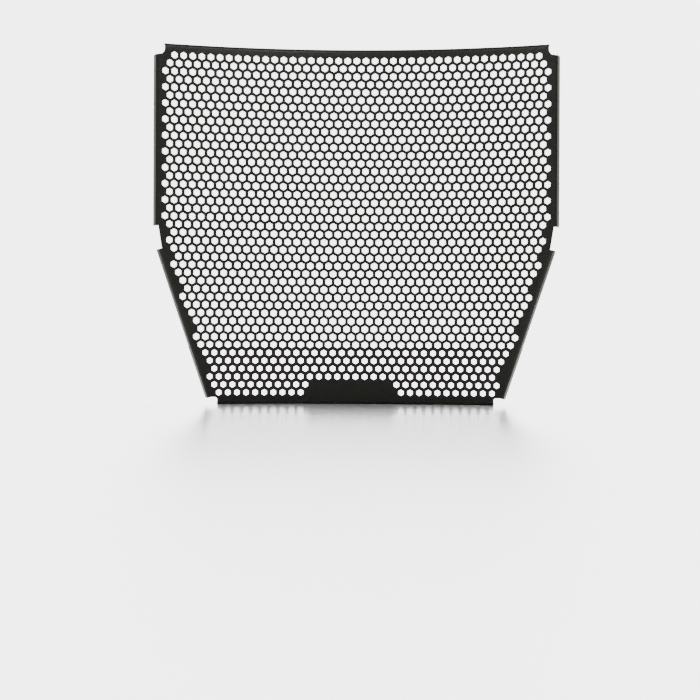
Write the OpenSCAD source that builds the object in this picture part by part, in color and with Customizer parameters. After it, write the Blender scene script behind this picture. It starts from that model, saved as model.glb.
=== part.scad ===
// Motorcycle radiator guard: one sheet of aluminium, punched with hexagons, rolled and folded.
// Millimetres. X is to the viewer's right, Y away from the viewer and Z up, with the feet at z = 0.
// The sheet is rolled about an upright axis in front of it, so its sides come forward.
// Places on the sheet are s, the length round the roll from the middle, and z, the height.

/* [Sheet] */
// thickness of the sheet
sheet_t = 1.5; // [1:0.1:3]
// radius of the roll, to the face that looks forward
roll_r = 450; // [350:10:900]
// height over the top and bottom lips
face_h = 311; // [200:1:420]
// width round the roll over the upper side flanges
upper_w = 352; // [240:1:420]
// width round the roll that the slanted sides would reach at z = 0
lower_w = 256; // [140:1:320]
// height at which the upright sides and the slanted sides meet
shoulder_z = 142; // [80:1:200]

/* [Folds] */
// inside radius of every fold
bend_r = 1.5; // [1:0.1:4]
// depth of the lips and flanges, from the front face to their free edge
flange_d = 10; // [7:0.5:20]
// how much shorter a lip's free edge is at each end than its fold
lip_taper = 5; // [1:0.5:12]
// how far the slanted folds stay inside the sheet's two faces, where they join it
fold_inset = 0.05; // [0.03:0.01:0.1]

/* [Fold reliefs] */
// width of a top corner relief, in from the side flange's outer face
top_relief_w = 7.5; // [6:0.5:14]
// height of a top corner relief
top_relief_h = 9.7; // [6:0.1:14]
// radius inside a top corner relief
top_relief_r = 5; // [1:0.5:5.5]
// width of a bottom corner relief, from the slanted side's outer face at z = 0
bottom_relief_w = 7; // [5:0.5:14]
// height of a bottom corner relief
bottom_relief_h = 6.3; // [5:0.1:12]
// radius inside a bottom corner relief
bottom_relief_r = 2.5; // [1:0.5:3]
// height of the relief between an upright and a slanted flange
side_relief_h = 16.5; // [8:0.5:24]
// height of that relief's middle above the shoulder
side_relief_up = 3.7; // [0:0.1:8]
// depth of that relief at its middle, from the side flange's outer face
side_relief_in = 3.7; // [3.2:0.1:8]

/* [Punching] */
// distance between hole centres: the real punching is 8, and 24 keeps the exact solid light
pitch = 24; // [8:1:32]
// width of the web between two holes, as a share of the pitch
web_share = 0.28; // [0.15:0.01:0.5]
// plain border between the holes and the folds' outer faces
side_border = 3.5; // [3:0.1:12]
// plain border between the holes and the top and bottom edges
end_border = 6; // [4:0.1:20]
// width of the plain land in the punching, at the bottom
land_w = 69; // [20:1:120]
// height of the plain land
land_h = 20; // [8:1:60]
// distance of the land's middle from the guard's middle
land_s = -4; // [-40:1:40]

/* [Hidden] */
$fn = 96;

// a fold's outer radius
fold_r = bend_r + sheet_t;
// where the upright folds start, round the roll
fold_s = upper_w / 2 - fold_r;
// lean of the slanted sides
lean = atan((upper_w - lower_w) / 2 / shoulder_z);
// how far the side folds come forward of the front face's middle
bow = (roll_r + fold_r) * (1 - cos(turn(fold_s)));
// heights between which the slanted flanges run
low_z0 = bottom_relief_h;
low_z1 = shoulder_z + side_relief_up - side_relief_h / 2 - fold_r;

// the angle round the roll of a length s
function turn(s) = s / roll_r * 180 / PI;
// the slanted side's outer face at height z
function slant_s(z) = lower_w / 2 + z * tan(lean);

// puts a thing on the sheet: X along the sheet, Y out of its back
module on_sheet(s, z) {
    rotate([0, 0, -turn(s)]) translate([0, roll_r, z]) children();
}

// puts a thing at the start of the slanted fold: Z along the fold, X out of the guard
module on_slant() {
    z = (low_z0 + low_z1) / 2;
    on_sheet(slant_s(z) - fold_r / cos(lean), z) rotate([0, lean, 0]) children();
}

// a flat shape in the sheet's own s and z, cut through everything there
module through_sheet(s, z) {
    on_sheet(s, z) translate([0, 2 * flange_d, 0]) rotate([90, 0, 0])
        linear_extrude(height = 4 * flange_d) children();
}

// section of a fold with its flange: it leaves the sheet at x = 0 and turns back along +Y
module fold_section(inset = 0) {
    intersection() {
        translate([0, fold_r]) difference() {
            circle(r = fold_r - inset);
            circle(r = bend_r + inset);
        }
        square(fold_r);
    }
    translate([bend_r + inset, fold_r]) square([sheet_t - 2 * inset, flange_d - fold_r]);
}

// half of the upright section, from mid height to the top lip's free edge
module half_section() {
    square([sheet_t, face_h / 2 - fold_r]);
    translate([0, face_h / 2 - fold_r]) rotate(90) mirror([0, 1]) fold_section();
}

// the rolled sheet with its top and bottom lips, one turned section
module rolled_sheet() {
    rotate([0, 0, 90 - turn(fold_s)]) rotate_extrude(angle = 2 * turn(fold_s), $fn = 360)
        translate([roll_r, face_h / 2]) {
            half_section();
            mirror([0, 1]) half_section();
        }
}

// the upright flange on the right
module upright_flange() {
    z0 = shoulder_z + side_relief_up + side_relief_h / 2;
    on_sheet(fold_s, z0) linear_extrude(height = face_h - top_relief_h - z0) fold_section();
}

// the slanted flange on the right: its fold follows the roll, so it is turned about a far axis
module slanted_flange() {
    far_r = roll_r / pow(sin(lean), 2);
    half_turn = (low_z1 - low_z0) / 2 / cos(lean) / far_r * 180 / PI;
    on_slant() translate([0, -far_r, 0]) rotate([0, 90, 0]) rotate([0, 0, 90 - half_turn])
        rotate_extrude(angle = 2 * half_turn, $fn = 360)
            translate([far_r, 0]) rotate(90) mirror([0, 1]) fold_section(fold_inset);
}

// a relief with a round inner corner at the origin, reaching out along +X and down past z = 0
module relief(w, h, r) {
    translate([0, -h - 5]) square([w, h + 5 - r]);
    translate([r, -h - 5]) square([w - r, h + 5]);
    translate([r, -r]) circle(r);
}

// what makes a lip's end slope in towards its free edge
module lip_slope(s, z) {
    on_sheet(s, z) linear_extrude(height = fold_r + 2)
        polygon([[0, fold_r], [-lip_taper, flange_d], [-lip_taper, flange_d + 2], [9, flange_d + 2], [9, fold_r]]);
}

// what the fold reliefs and the slanted side take off the right half
module right_trim() {
    top_s = upper_w / 2 - top_relief_w;
    bottom_s = lower_w / 2 - bottom_relief_w;
    through_sheet(top_s, face_h - top_relief_h) mirror([0, 1]) relief(40, top_relief_h, top_relief_r);
    through_sheet(bottom_s, bottom_relief_h) relief(40, bottom_relief_h, bottom_relief_r);
    lip_slope(top_s, face_h - fold_r - 1);
    lip_slope(bottom_s, -1);
    through_sheet(upper_w / 2, shoulder_z + side_relief_up) rotate(-lean / 2)
        translate([-side_relief_in, -side_relief_h / 2]) square([40, side_relief_h]);
    on_slant() translate([0, -2 * flange_d, -shoulder_z]) cube([90, 5 * flange_d, 1.6 * shoulder_z]);
}

// one hexagon with a point upwards, through the sheet
module punch(s, z, r) {
    on_sheet(s, z) translate([0, -2, 0]) rotate([-90, 0, 0]) rotate(30)
        cylinder(r = r, h = sheet_t + 4, $fn = 6);
}

// is there room for a hole of corner radius r at (s, z), clear of the folds, the reliefs and the land?
function has_room(s, z, r) =
    let (flat = r * cos(30), out = abs(s) + side_border + flat, relief_z = shoulder_z + side_relief_up)
    out <= upper_w / 2
    && abs(s) <= slant_s(z) - (side_border + r * cos(30 - lean)) / cos(lean)
    && (out <= upper_w / 2 - top_relief_w || z + side_border + r <= face_h - top_relief_h)
    && (out <= upper_w / 2 - side_relief_in || abs(z - relief_z) > side_relief_h / 2)
    && (z - r > land_h || abs(s - land_s) >= land_w / 2 + flat);

// staggered rows of hexagons, centred on the sheet
module punching() {
    r = pitch * (1 - web_share) / 2 / cos(30);
    row = pitch * sin(60);
    rows = floor((face_h - 2 * end_border - 2 * r) / row) + 1;
    reach = ceil(upper_w / 2 / pitch);
    for (i = [0:rows - 1]) for (j = [-reach:reach]) {
        s = (j + (i % 2) / 2) * pitch;
        z = face_h / 2 + ((rows - 1) / 2 - i) * row;
        if (has_room(s, z, r)) punch(s, z, r);
    }
}

// the rolled sheet, trimmed and punched; its side folds join it afterwards
module punched_sheet() {
    difference() {
        rolled_sheet();
        right_trim();
        mirror([1, 0, 0]) right_trim();
        punching();
    }
}

// the two side flanges on the right
module right_flanges() {
    upright_flange();
    slanted_flange();
}

// the whole guard, one folded sheet, with half its depth before y = 0
module guard_sheet() {
    color([0.16, 0.16, 0.16]) translate([0, (bow - flange_d) / 2 - roll_r, 0]) union() {
        punched_sheet();
        right_flanges();
        mirror([1, 0, 0]) right_flanges();
    }
}

guard_sheet();
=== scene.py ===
import math

import bpy
import numpy as np
from mathutils import Matrix, Vector
from mathutils.geometry import delaunay_2d_cdt


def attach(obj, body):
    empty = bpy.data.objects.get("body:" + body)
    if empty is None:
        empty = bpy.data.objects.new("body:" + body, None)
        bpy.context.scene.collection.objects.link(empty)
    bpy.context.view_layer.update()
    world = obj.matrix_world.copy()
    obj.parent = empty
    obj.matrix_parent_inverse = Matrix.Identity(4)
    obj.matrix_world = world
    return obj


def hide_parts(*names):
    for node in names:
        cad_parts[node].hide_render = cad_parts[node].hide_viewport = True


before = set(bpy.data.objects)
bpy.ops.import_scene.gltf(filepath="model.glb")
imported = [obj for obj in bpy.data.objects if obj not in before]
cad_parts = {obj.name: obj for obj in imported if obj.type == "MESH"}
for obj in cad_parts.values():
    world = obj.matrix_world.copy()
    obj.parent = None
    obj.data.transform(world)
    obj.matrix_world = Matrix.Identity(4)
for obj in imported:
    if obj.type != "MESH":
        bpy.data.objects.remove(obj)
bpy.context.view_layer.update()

millimetre = 0.001
print("frame loaded:", sorted(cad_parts))

# the guard's flat blank, in millimetres: the sizes of the part's source, with the real fine punching
guard = {
    "sheet": 1.5,
    "rollRadius": 450.0,
    "height": 311.0,
    "upperWidth": 352.0,
    "lowerWidth": 256.0,
    "shoulder": 142.0,
    "bendRadius": 1.5,
    "flange": 10.0,
    "lipTaper": 5.0,
    "topRelief": (7.5, 9.7, 5.0),  # width, height, inner radius
    "bottomRelief": (7.0, 6.3, 2.5),
    "sideRelief": (16.5, 3.7, 3.7),  # height, middle above the shoulder, depth
    "pitch": 8.0,
    # a little over the source's, because thin dark webs look thinner before a bright ground
    "webShare": 0.32,
    "sideBorder": 3.8,
    "endBorder": 6.0,
    "land": (-4.0, 69.0, 20.0),  # middle, width, height
    "missingHole": (19, 16),  # rows below the middle row, and pitches to the right
    "holeCorner": 0.16,  # share of a side that is cut off each corner of a hole
    "edgeWidth": 0.18,  # the edge that the punch draws in, on the front
    "edgeDepth": 0.14,
    "freeCorner": 0.8,  # radius of the lips' and flanges' free corners
    "lipCorner": 0.4,  # radius where a lip starts to narrow
    "notchCorner": 0.6,  # radius inside a shoulder relief
    "flangeGap": 0.3,  # between a shoulder relief and the upright flange
    "bendSteps": 6,  # facets round a fold
    "foldMargin": 0.5,  # how far the fold lines stay inside the outline
    "arcStep": 18,  # degrees from point to point of a rounded corner
    "step": 4.0,  # longest edge along a fold or the outline
    "sharpAngle": 28,  # degrees between two faces past which their edge is sharp
}

# mesh points inside the plain land, in millimetres: insets from its sides, and steps
landMesh = {"left": 4.0, "right": 3.0, "bottom": 7.0, "top": 3.0, "across": 6.2, "up": 4.0}

flatShare = math.cos(math.pi / 6)  # a hexagon's radius to its flats, over its radius to its corners
holePoints = 12  # six corners, each cut to two points
weldDistance = 1e-6  # millimetres

foldRadius = guard["bendRadius"] + guard["sheet"]
neutralRadius = guard["bendRadius"] + guard["sheet"] / 2
foldStart = guard["upperWidth"] / 2 - foldRadius
lean = math.atan((guard["upperWidth"] - guard["lowerWidth"]) / 2 / guard["shoulder"])
bow = (guard["rollRadius"] + foldRadius) * (1 - math.cos(foldStart / guard["rollRadius"]))
bendLength = neutralRadius * math.pi / 2
flangeLength = bendLength + guard["flange"] - foldRadius  # past the fold's start, in the flat
sideMiddle = guard["shoulder"] + guard["sideRelief"][1]
slantTop = sideMiddle - guard["sideRelief"][0] / 2 - foldRadius
slantBottom = guard["bottomRelief"][1]


def slantStart(v):
    # the slanted fold starts at s = lowerWidth / 2 + v tan(lean), less the fold's radius across the slant
    return guard["lowerWidth"] / 2 + v * math.tan(lean) - foldRadius / math.cos(lean)


def rollFrame(s):
    # a point of the front face lies at (R sin(s/R), R cos(s/R) - R), s along the sheet from its middle;
    # the face runs along (cos, -sin) there and its back is on the side of (sin, cos)
    radius = guard["rollRadius"]
    turn = s / radius
    forward = (bow - guard["flange"]) / 2
    point = np.stack([radius * np.sin(turn), radius * np.cos(turn) - radius + forward], axis=1)
    along = np.stack([np.cos(turn), -np.sin(turn)], axis=1)
    back = np.stack([np.sin(turn), np.cos(turn)], axis=1)
    return point, along, back


def foldedSheet(flat, depth):
    # flat holds (u, v) of the blank and depth is how far behind the front face a point lies.
    # q is how far the point lies past the start of its fold, along that fold's outward direction;
    # the fold turns it by q / neutralRadius up to a right angle, and the rest of q runs straight back
    u, v = np.abs(flat[:, 0]), flat[:, 1]
    onSide = v > sideMiddle
    distances = np.stack([
        np.where(onSide, u - foldStart, -1),
        np.where(onSide, -1, (u - slantStart(v)) * math.cos(lean)),
        v - (guard["height"] - foldRadius),
        foldRadius - v,
    ])
    directions = np.array([[1, 0], [math.cos(lean), -math.sin(lean)], [0, 1], [0, -1]])
    which = np.argmax(distances, axis=0)
    q = np.maximum(distances.max(axis=0), 0)
    outward = directions[which]
    turn = np.minimum(q / neutralRadius, math.pi / 2)
    straight = np.maximum(q - bendLength, 0)
    behind = foldRadius - (foldRadius - depth) * np.cos(turn) + straight
    reach = (foldRadius - depth) * np.sin(turn)
    point, along, back = rollFrame(u - q * outward[:, 0])
    place = point + back * behind[:, None] + along * (reach * outward[:, 0])[:, None]
    height = v - q * outward[:, 1] + reach * outward[:, 1]
    return np.stack([place[:, 0] * np.sign(flat[:, 0]), place[:, 1], height], axis=1)


def roundedLoop(corners):
    # each corner (u, v, r) of a closed outline becomes an arc of radius r between its tangent points,
    # and every straight run is cut into equal steps
    points = np.array(corners, dtype=float)
    place, radius = points[:, :2], points[:, 2]
    before = np.roll(place, 1, axis=0) - place
    after = np.roll(place, -1, axis=0) - place
    before /= np.linalg.norm(before, axis=1)[:, None]
    after /= np.linalg.norm(after, axis=1)[:, None]
    half = np.arccos(np.clip((before * after).sum(axis=1), -1, 1)) / 2
    run = radius / np.tan(half)
    inward = (before + after) / np.linalg.norm(before + after, axis=1)[:, None]
    centre = place + inward * (radius / np.sin(half))[:, None]
    loop = []
    for i in range(len(place)):
        start, end = place[i] + before[i] * run[i], place[i] + after[i] * run[i]
        if radius[i] > 0:
            first = math.atan2(*(start - centre[i])[::-1])
            last = math.atan2(*(end - centre[i])[::-1])
            sweep = (last - first + math.pi) % (2 * math.pi) - math.pi
            count = max(2, math.ceil(abs(sweep) / math.radians(guard["arcStep"])))
            angle = first + sweep * np.linspace(0, 1, count + 1)
            loop.append(centre[i] + radius[i] * np.stack([np.cos(angle), np.sin(angle)], axis=1))
        else:
            loop.append(place[i][None])
        following = (i + 1) % len(place)
        target = place[following] + before[following] * run[following]
        count = math.ceil(np.linalg.norm(target - end) / guard["step"])
        share = np.arange(1, count)[:, None] / count
        loop.append(end + (target - end) * share)
    return np.concatenate(loop)


def blankOutline():
    # the right half of the blank from the bottom lip up to the top lip, then the same mirrored
    g = guard
    across, down = math.cos(lean), math.sin(lean)
    topW, topH, topR = g["topRelief"]
    lowW, lowH, lowR = g["bottomRelief"]
    sideH, _, sideIn = g["sideRelief"]
    half = lean / 2
    notchMiddle = g["upperWidth"] / 2 - sideIn * math.cos(half)
    notchLow = (notchMiddle - sideH / 2 * math.sin(half), sideMiddle - sideH / 2 * math.cos(half))
    notchHigh = (notchMiddle + sideH / 2 * math.sin(half), sideMiddle + sideH / 2 * math.cos(half))
    # how far a lip's fold and its free edge reach past z = 0 in the flat
    fold = bendLength - foldRadius
    lipEnd = bendLength + g["flange"] - foldRadius - foldRadius
    free, tapered, notch = g["freeCorner"], g["lipCorner"], g["notchCorner"]
    topEnd = g["upperWidth"] / 2 - topW
    lowEnd = g["lowerWidth"] / 2 - lowW
    right = [
        (lowEnd - g["lipTaper"], -lipEnd, free),
        (lowEnd, -fold, tapered),
        (lowEnd, lowH, lowR),
        (slantStart(slantBottom), slantBottom, 0),
        (slantStart(slantBottom) + flangeLength * across, slantBottom - flangeLength * down, free),
        (slantStart(slantTop) + flangeLength * across, slantTop - flangeLength * down, free),
        (slantStart(slantTop), slantTop, 0),
        (*notchLow, notch),
        (*notchHigh, notch),
        (foldStart + flangeLength, notchHigh[1] + g["flangeGap"], free),
        (foldStart + flangeLength, g["height"] - topH, free),
        (topEnd, g["height"] - topH, topR),
        (topEnd, g["height"] + fold, tapered),
        (topEnd - g["lipTaper"], g["height"] + lipEnd, free),
    ]
    left = [(-u, v, r) for u, v, r in reversed(right)]
    return roundedLoop(right + left)


def holeCentres():
    # row i lies (rows - 1) / 2 - i row heights above the middle, and column j lies j pitches to the
    # right, plus half a pitch in every other row; a hole is kept where it clears the folds, the
    # reliefs and the plain land
    g = guard
    pitch, row = g["pitch"], g["pitch"] * math.sin(math.pi / 3)
    corner = pitch * (1 - g["webShare"]) / 2 / flatShare
    flat = corner * flatShare
    rows = math.floor((g["height"] - 2 * g["endBorder"] - 2 * corner) / row) + 1
    reach = math.ceil(g["upperWidth"] / 2 / pitch)
    i, j = np.meshgrid(np.arange(rows), np.arange(-reach, reach + 1), indexing="ij")
    halves = 2 * j + i % 2
    s = halves * pitch / 2
    z = g["height"] / 2 + ((rows - 1) / 2 - i) * row
    out = np.abs(s) + g["sideBorder"] + flat
    slant = g["lowerWidth"] / 2 + z * math.tan(lean)
    landS, landW, landH = g["land"]
    sideH, _, sideIn = g["sideRelief"]
    keep = out <= g["upperWidth"] / 2
    towardsSlant = corner * math.cos(math.pi / 6 - lean)
    keep &= np.abs(s) <= slant - (g["sideBorder"] + towardsSlant) / math.cos(lean)
    keep &= (out <= g["upperWidth"] / 2 - g["topRelief"][0]) | (
        z + g["sideBorder"] + corner <= g["height"] - g["topRelief"][1])
    keep &= (out <= g["upperWidth"] / 2 - sideIn) | (np.abs(z - sideMiddle) > sideH / 2)
    keep &= (z - corner > landH) | (np.abs(s - landS) >= landW / 2 + flat)
    missingRow, missingPlace = g["missingHole"]
    keep &= ~((i - (rows - 1) // 2 == missingRow) & (halves == 2 * missingPlace))
    return np.stack([s[keep], z[keep]], axis=1), corner


def hexagons(centres, corner):
    # each hole is a hexagon with a point upwards, and each corner cut to two points
    angle = np.arange(6) * math.pi / 3 + math.pi / 6
    points = corner * np.stack([np.cos(angle), np.sin(angle)], axis=1)
    side = (np.roll(points, -1, axis=0) - points) / corner
    cut = guard["holeCorner"]
    ring = np.stack([points - np.roll(side, 1, axis=0) * cut, points + side * cut], axis=1)
    return (centres[:, None, :] + ring.reshape(holePoints, 2)[None]).reshape(-1, 2)


def grown(loop, distance):
    # each point of a closed counterclockwise loop moves outwards along the mean of its two sides' normals
    side = np.roll(loop, -1, axis=0) - loop
    side /= np.linalg.norm(side, axis=1)[:, None]
    normal = np.stack([side[:, 1], -side[:, 0]], axis=1)
    earlier = np.roll(normal, 1, axis=0)
    mitre = (normal + earlier) / (1 + (normal * earlier).sum(axis=1))[:, None]
    return loop + mitre * distance


def foldLines():
    # lines along every fold at equal turns, so the sheet bends on them
    g = guard
    margin = g["foldMargin"]
    lines = []
    offsets = np.linspace(0, bendLength, g["bendSteps"] + 1)

    def line(start, end):
        count = math.ceil(math.dist(start, end) / g["step"]) + 1
        lines.append(np.linspace(start, end, count))

    lipTop = g["upperWidth"] / 2 - g["topRelief"][0] - margin
    lipLow = g["lowerWidth"] / 2 - g["bottomRelief"][0] - margin
    top = g["height"] - g["topRelief"][1] - margin
    low = sideMiddle + g["sideRelief"][0] / 2 + margin
    across, down = math.cos(lean), math.sin(lean)
    for q in offsets:
        line((-lipTop, g["height"] - foldRadius + q), (lipTop, g["height"] - foldRadius + q))
        line((-lipLow, foldRadius - q), (lipLow, foldRadius - q))
        for side in (-1, 1):
            line((side * (foldStart + q), low), (side * (foldStart + q), top))
            line(*[(side * (slantStart(z) + q * across), z - q * down)
                   for z in (slantBottom + margin, slantTop - margin)])
    return lines


def punchedBlank():
    # the blank as triangles: the front face ends on a ring inside the outline and on a mouth round
    # each hole, which is the hole scaled from its centre by 1 + edgeWidth / its radius to the flats
    outline = blankOutline()
    centres, corner = holeCentres()
    holes = hexagons(centres, corner)
    width = guard["edgeWidth"]
    holeMiddles = centres.repeat(holePoints, axis=0)
    mouths = holeMiddles + (holes - holeMiddles) * (1 + width / (corner * flatShare))
    lines = foldLines()
    landS, landW, landH = guard["land"]
    across = np.arange(landS - landW / 2 + landMesh["left"], landS + landW / 2 - landMesh["right"],
                       landMesh["across"])
    up = np.arange(landMesh["bottom"], landH - landMesh["top"], landMesh["up"])
    grid = np.stack(np.meshgrid(across, up), axis=-1).reshape(-1, 2)
    front = np.concatenate([grown(outline, -width), mouths, *lines, grid])
    back = front.copy()
    border = len(outline) + len(holes)
    back[:border] = np.concatenate([outline, holes])
    ring = np.arange(len(outline))
    loops = [np.stack([ring, np.roll(ring, -1)], axis=1)]
    hole = np.arange(len(holes)).reshape(-1, holePoints) + len(outline)
    loops.append(np.stack([hole, np.roll(hole, -1, axis=1)], axis=2).reshape(-1, 2))
    edges = list(loops)
    start = border
    for line in lines:
        run = np.arange(start, start + len(line))
        edges.append(np.stack([run[:-1], run[1:]], axis=1))
        start += len(line)
    points = list(map(Vector, front.tolist()))
    found = delaunay_2d_cdt(points, np.concatenate(edges).tolist(), [], 0, weldDistance)
    if len(found[0]) != len(front):
        raise ValueError("the blank's outline or holes touch each other")
    faces = np.array(found[2])
    # a triangle with its corners on one hole is that hole, and one outside the outline is scrap
    loopOf = np.full(len(front), -1)
    loopOf[:len(outline)] = 0
    loopOf[len(outline):border] = 1 + np.arange(len(holes)) // holePoints
    ids = loopOf[faces]
    same = (ids[:, 0] == ids[:, 1]) & (ids[:, 1] == ids[:, 2])
    inHole = same & (ids[:, 0] > 0)
    middle = front[faces].mean(axis=1)
    maybe = same & (ids[:, 0] == 0)
    outside = np.zeros(len(faces), dtype=bool)
    outside[maybe] = ~insideLoop(middle[maybe], front[:len(outline)])
    faces = faces[~(inHole | outside)]
    print("blank:", len(centres), "holes,", len(front), "points,", len(faces), "triangles")
    return front, back, border, loops, faces


def insideLoop(points, loop):
    # a point is inside where a ray to its right crosses the loop an odd number of times
    a, b = loop, np.roll(loop, -1, axis=0)
    y = points[:, 1][:, None]
    crosses = (a[:, 1] > y) != (b[:, 1] > y)
    levelRise = 1e-12  # no ray crosses a level side, so this only keeps the division whole
    rise = np.where(b[:, 1] == a[:, 1], levelRise, b[:, 1] - a[:, 1])
    x = a[:, 0] + (y - a[:, 1]) * (b[:, 0] - a[:, 0]) / rise
    return (crosses & (x > points[:, 0][:, None])).sum(axis=1) % 2 == 1


def guardMesh():
    # front face, drawn-in edge, wall and back face, each the blank carried onto the rolled and
    # folded sheet
    front, back, border, loops, faces = punchedBlank()
    sheet = guard["sheet"]
    count = len(front)
    places = np.concatenate([
        foldedSheet(front, np.zeros(count)),
        foldedSheet(back[:border], np.full(border, guard["edgeDepth"])),
        foldedSheet(back, np.full(count, sheet)),
    ]) * millimetre
    outer, inner = loops[0], loops[1]
    # the outline runs round the sheet and the holes run round empty space, so their walls face
    # opposite ways
    rim = np.concatenate([outer[:, ::-1], inner])
    edgeQuads = np.stack([rim[:, 0], rim[:, 1], rim[:, 1] + count, rim[:, 0] + count], axis=1)
    wallQuads = np.stack([rim[:, 0] + count, rim[:, 1] + count,
                          rim[:, 1] + count + border, rim[:, 0] + count + border], axis=1)
    mesh = bpy.data.meshes.new("guardSheet")
    backFaces = faces[:, ::-1] + count + border
    allFaces = faces.tolist() + backFaces.tolist() + edgeQuads.tolist() + wallQuads.tolist()
    mesh.from_pydata(places.tolist(), [], allFaces)
    mesh.shade_smooth()
    mesh.set_sharp_from_angle(angle=math.radians(guard["sharpAngle"]))
    return mesh


guardSheet = bpy.data.objects.new("guardSheet", guardMesh())
bpy.context.scene.collection.objects.link(guardSheet)
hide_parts("guard_sheet")
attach(guardSheet, "root")
print("guard sheet built")


def node(tree, kind, place, **values):
    # one shader node with its settings and socket values
    made = tree.nodes.new(kind)
    made.location = place
    for name, value in values.items():
        if hasattr(made, name) and not name[0].isupper():
            setattr(made, name, value)
        else:
            made.inputs[name.replace("_", " ")].default_value = value
    return made


coat = {
    "color": (0.0175, 0.0175, 0.0145, 1),
    "cloudTone": 1.5,  # how much lighter the coat is where the powder lies thick
    "cloudSize": 14.0,  # waves per metre
    "cloudDetail": 4.0,
    "roughness": (0.31, 0.43),
    "peelSize": 480.0,  # waves per metre of the orange peel
    "peelDetail": 2.0,
    "peelHeight": 0.0002,  # metres
    "grainSize": 1500.0,  # waves per metre of the powder's own grain
    "grainDetail": 1.0,
    "grainHeight": 0.00006,  # metres
}


def powderCoat():
    # black powder, cured to a satin skin: its tone and gloss drift over the sheet, and its skin has
    # an orange peel with a finer grain on it
    material = bpy.data.materials.new("blackPowderCoat")
    material.use_nodes = True
    tree = material.node_tree
    tree.nodes.clear()
    link = tree.links.new
    out = node(tree, "ShaderNodeOutputMaterial", (900, 0))
    shader = node(tree, "ShaderNodeBsdfPrincipled", (600, 0))
    where = node(tree, "ShaderNodeTexCoord", (-900, 0))
    cloud = node(tree, "ShaderNodeTexNoise", (-600, 0),
                 Scale=coat["cloudSize"], Detail=coat["cloudDetail"])
    peel = node(tree, "ShaderNodeTexNoise", (-600, -300),
                Scale=coat["peelSize"], Detail=coat["peelDetail"])
    grain = node(tree, "ShaderNodeTexNoise", (-600, -600),
                 Scale=coat["grainSize"], Detail=coat["grainDetail"])
    # a Mix node's colours go in at sockets 6 and 7 and come out at 2
    tone = node(tree, "ShaderNodeMix", (100, 200), data_type="RGBA")
    tone.inputs[6].default_value = coat["color"]
    tone.inputs[7].default_value = tuple(c * coat["cloudTone"] for c in coat["color"][:3]) + (1,)
    rough = node(tree, "ShaderNodeMapRange", (100, -50),
                 To_Min=coat["roughness"][0], To_Max=coat["roughness"][1])
    peelBump = node(tree, "ShaderNodeBump", (100, -400), Distance=coat["peelHeight"])
    grainBump = node(tree, "ShaderNodeBump", (350, -400), Distance=coat["grainHeight"])
    for noise in (cloud, peel, grain):
        link(where.outputs["Object"], noise.inputs["Vector"])
    link(cloud.outputs["Fac"], tone.inputs[0])
    link(cloud.outputs["Fac"], rough.inputs["Value"])
    link(peel.outputs["Fac"], peelBump.inputs["Height"])
    link(grain.outputs["Fac"], grainBump.inputs["Height"])
    link(peelBump.outputs["Normal"], grainBump.inputs["Normal"])
    link(tone.outputs[2], shader.inputs["Base Color"])
    link(rough.outputs["Result"], shader.inputs["Roughness"])
    link(grainBump.outputs["Normal"], shader.inputs["Normal"])
    link(shader.outputs["BSDF"], out.inputs["Surface"])
    return material


guardSheet.data.materials.append(powderCoat())
print("powder coat mixed")

# the floor is polished at the guard and dull away from it, so a reflection fades out
ground = {
    "size": 30.0,
    "color": (0.5, 0.5, 0.5, 1),
    "roughness": (0.13, 0.6),
    "polished": (0.05, 1.3),  # distances from the middle between which it turns dull
}


def paleFloor():
    half = ground["size"] / 2
    mesh = bpy.data.meshes.new("paleFloor")
    corners = [(-half, -half, 0), (half, -half, 0), (half, half, 0), (-half, half, 0)]
    mesh.from_pydata(corners, [], [(0, 1, 2, 3)])
    floor = bpy.data.objects.new("paleFloor", mesh)
    bpy.context.scene.collection.objects.link(floor)
    material = bpy.data.materials.new("paleFloor")
    material.use_nodes = True
    tree = material.node_tree
    shader = tree.nodes["Principled BSDF"]
    shader.inputs["Base Color"].default_value = ground["color"]
    where = node(tree, "ShaderNodeTexCoord", (-900, 0))
    away = node(tree, "ShaderNodeVectorMath", (-600, 0), operation="LENGTH")
    rough = node(tree, "ShaderNodeMapRange", (-300, 0), interpolation_type="SMOOTHSTEP",
                 From_Min=ground["polished"][0], From_Max=ground["polished"][1],
                 To_Min=ground["roughness"][0], To_Max=ground["roughness"][1])
    tree.links.new(where.outputs["Object"], away.inputs[0])
    tree.links.new(away.outputs["Value"], rough.inputs["Value"])
    tree.links.new(rough.outputs["Result"], shader.inputs["Roughness"])
    mesh.materials.append(material)
    floor.is_shadow_catcher = True
    return floor


floor = paleFloor()

# soft lights: place, what they face, width and height, all in metres, and power in watts
lights = {
    "keyRight": ((0.38, -1.25, 1.15), (-0.05, 0, 0.3), (0.45, 0.35), 5.6),
    "keyLeft": ((-0.85, -1.15, 1.15), (0.12, 0, 0.3), (0.45, 0.35), 4.1),
    "sideLeft": ((-1.5, 1.3, 0.6), (-0.15, 0, 0.2), (0.8, 1.4), 5),
    "sideRight": ((1.5, 1.3, 0.6), (0.15, 0, 0.2), (0.8, 1.4), 5),
    "rear": ((-0.9, 1.5, 1.2), (0, 0, 0.2), (0.5, 0.5), 3),
}
# lights for the floor alone, which give it the guard's shadow and reflection
floorLights = {
    "shadowTop": ((0.15, 0.45, 1.6), (0, 0, 0), (0.5, 0.35), 22),
    "farWall": ((0, 2.5, 1), (0, 0, 1), (5, 2), 130),
}
lightColor = (1, 0.995, 0.93)  # of the lights on the guard, a little warm

# how bright the studio's walls are to the camera, and how much light they give the object
studio = {"backdrop": 5.0, "fill": 0.2}


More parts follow.
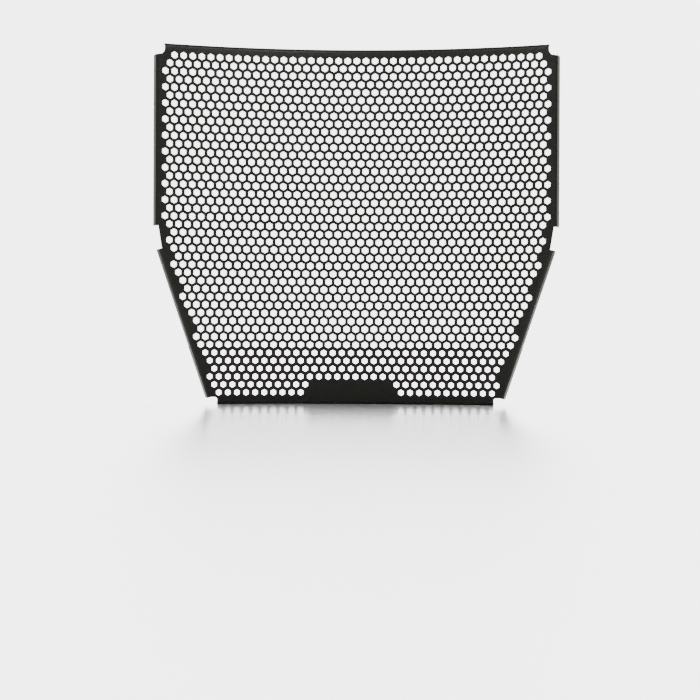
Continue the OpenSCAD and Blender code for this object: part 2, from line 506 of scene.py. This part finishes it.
def softLight(name, place, target, size, power):
    data = bpy.data.lights.new(name, "AREA")
    data.shape = "RECTANGLE"
    data.size, data.size_y = size
    data.energy = power
    lamp = bpy.data.objects.new(name, data)
    lamp.location = place
    lamp.visible_camera = False
    lamp.rotation_euler = (Vector(target) - Vector(place)).to_track_quat("-Z", "Y").to_euler()
    bpy.context.scene.collection.objects.link(lamp)
    return lamp


def studioLight():
    for name, settings in lights.items():
        softLight(name, *settings).data.color = lightColor
    lit = bpy.data.collections.new("floorOnly")
    lit.objects.link(floor)
    for name, settings in floorLights.items():
        softLight(name, *settings).light_linking.receiver_collection = lit
    world = bpy.data.worlds.new("studio")
    bpy.context.scene.world = world
    world.use_nodes = True
    tree = world.node_tree
    background = tree.nodes["Background"]
    background.inputs["Color"].default_value = (1, 1, 1, 1)
    path = node(tree, "ShaderNodeLightPath", (-600, 0))
    strength = node(tree, "ShaderNodeMapRange", (-300, 0),
                    To_Min=studio["fill"], To_Max=studio["backdrop"])
    tree.links.new(path.outputs["Is Camera Ray"], strength.inputs["Value"])
    tree.links.new(strength.outputs["Result"], background.inputs["Strength"])


studioLight()
print("floor and lights placed")

# the place and turn of the camera were fitted to the hole rows in the photograph
view = {
    "place": (0.00862, -1.43304, 0.05501),
    "pan": 0.535,  # degrees to the left
    "tilt": -0.305,  # degrees, below level
    "roll": 0.261,
    "lens": 84.58,  # millimetres, as the sensor is
    "sensor": 36,
    "nearest": 0.05,  # metres
}


def photoCamera():
    data = bpy.data.cameras.new("photoCamera")
    data.lens = view["lens"]
    data.sensor_width = view["sensor"]
    data.clip_start = view["nearest"]
    camera = bpy.data.objects.new("photoCamera", data)
    turn = (Matrix.Rotation(math.radians(view["pan"]), 4, "Z")
            @ Matrix.Rotation(math.radians(90 + view["tilt"]), 4, "X")
            @ Matrix.Rotation(math.radians(view["roll"]), 4, "Z"))
    camera.matrix_world = Matrix.Translation(view["place"]) @ turn
    bpy.context.scene.collection.objects.link(camera)
    bpy.context.scene.camera = camera


photoCamera()
print("camera placed")
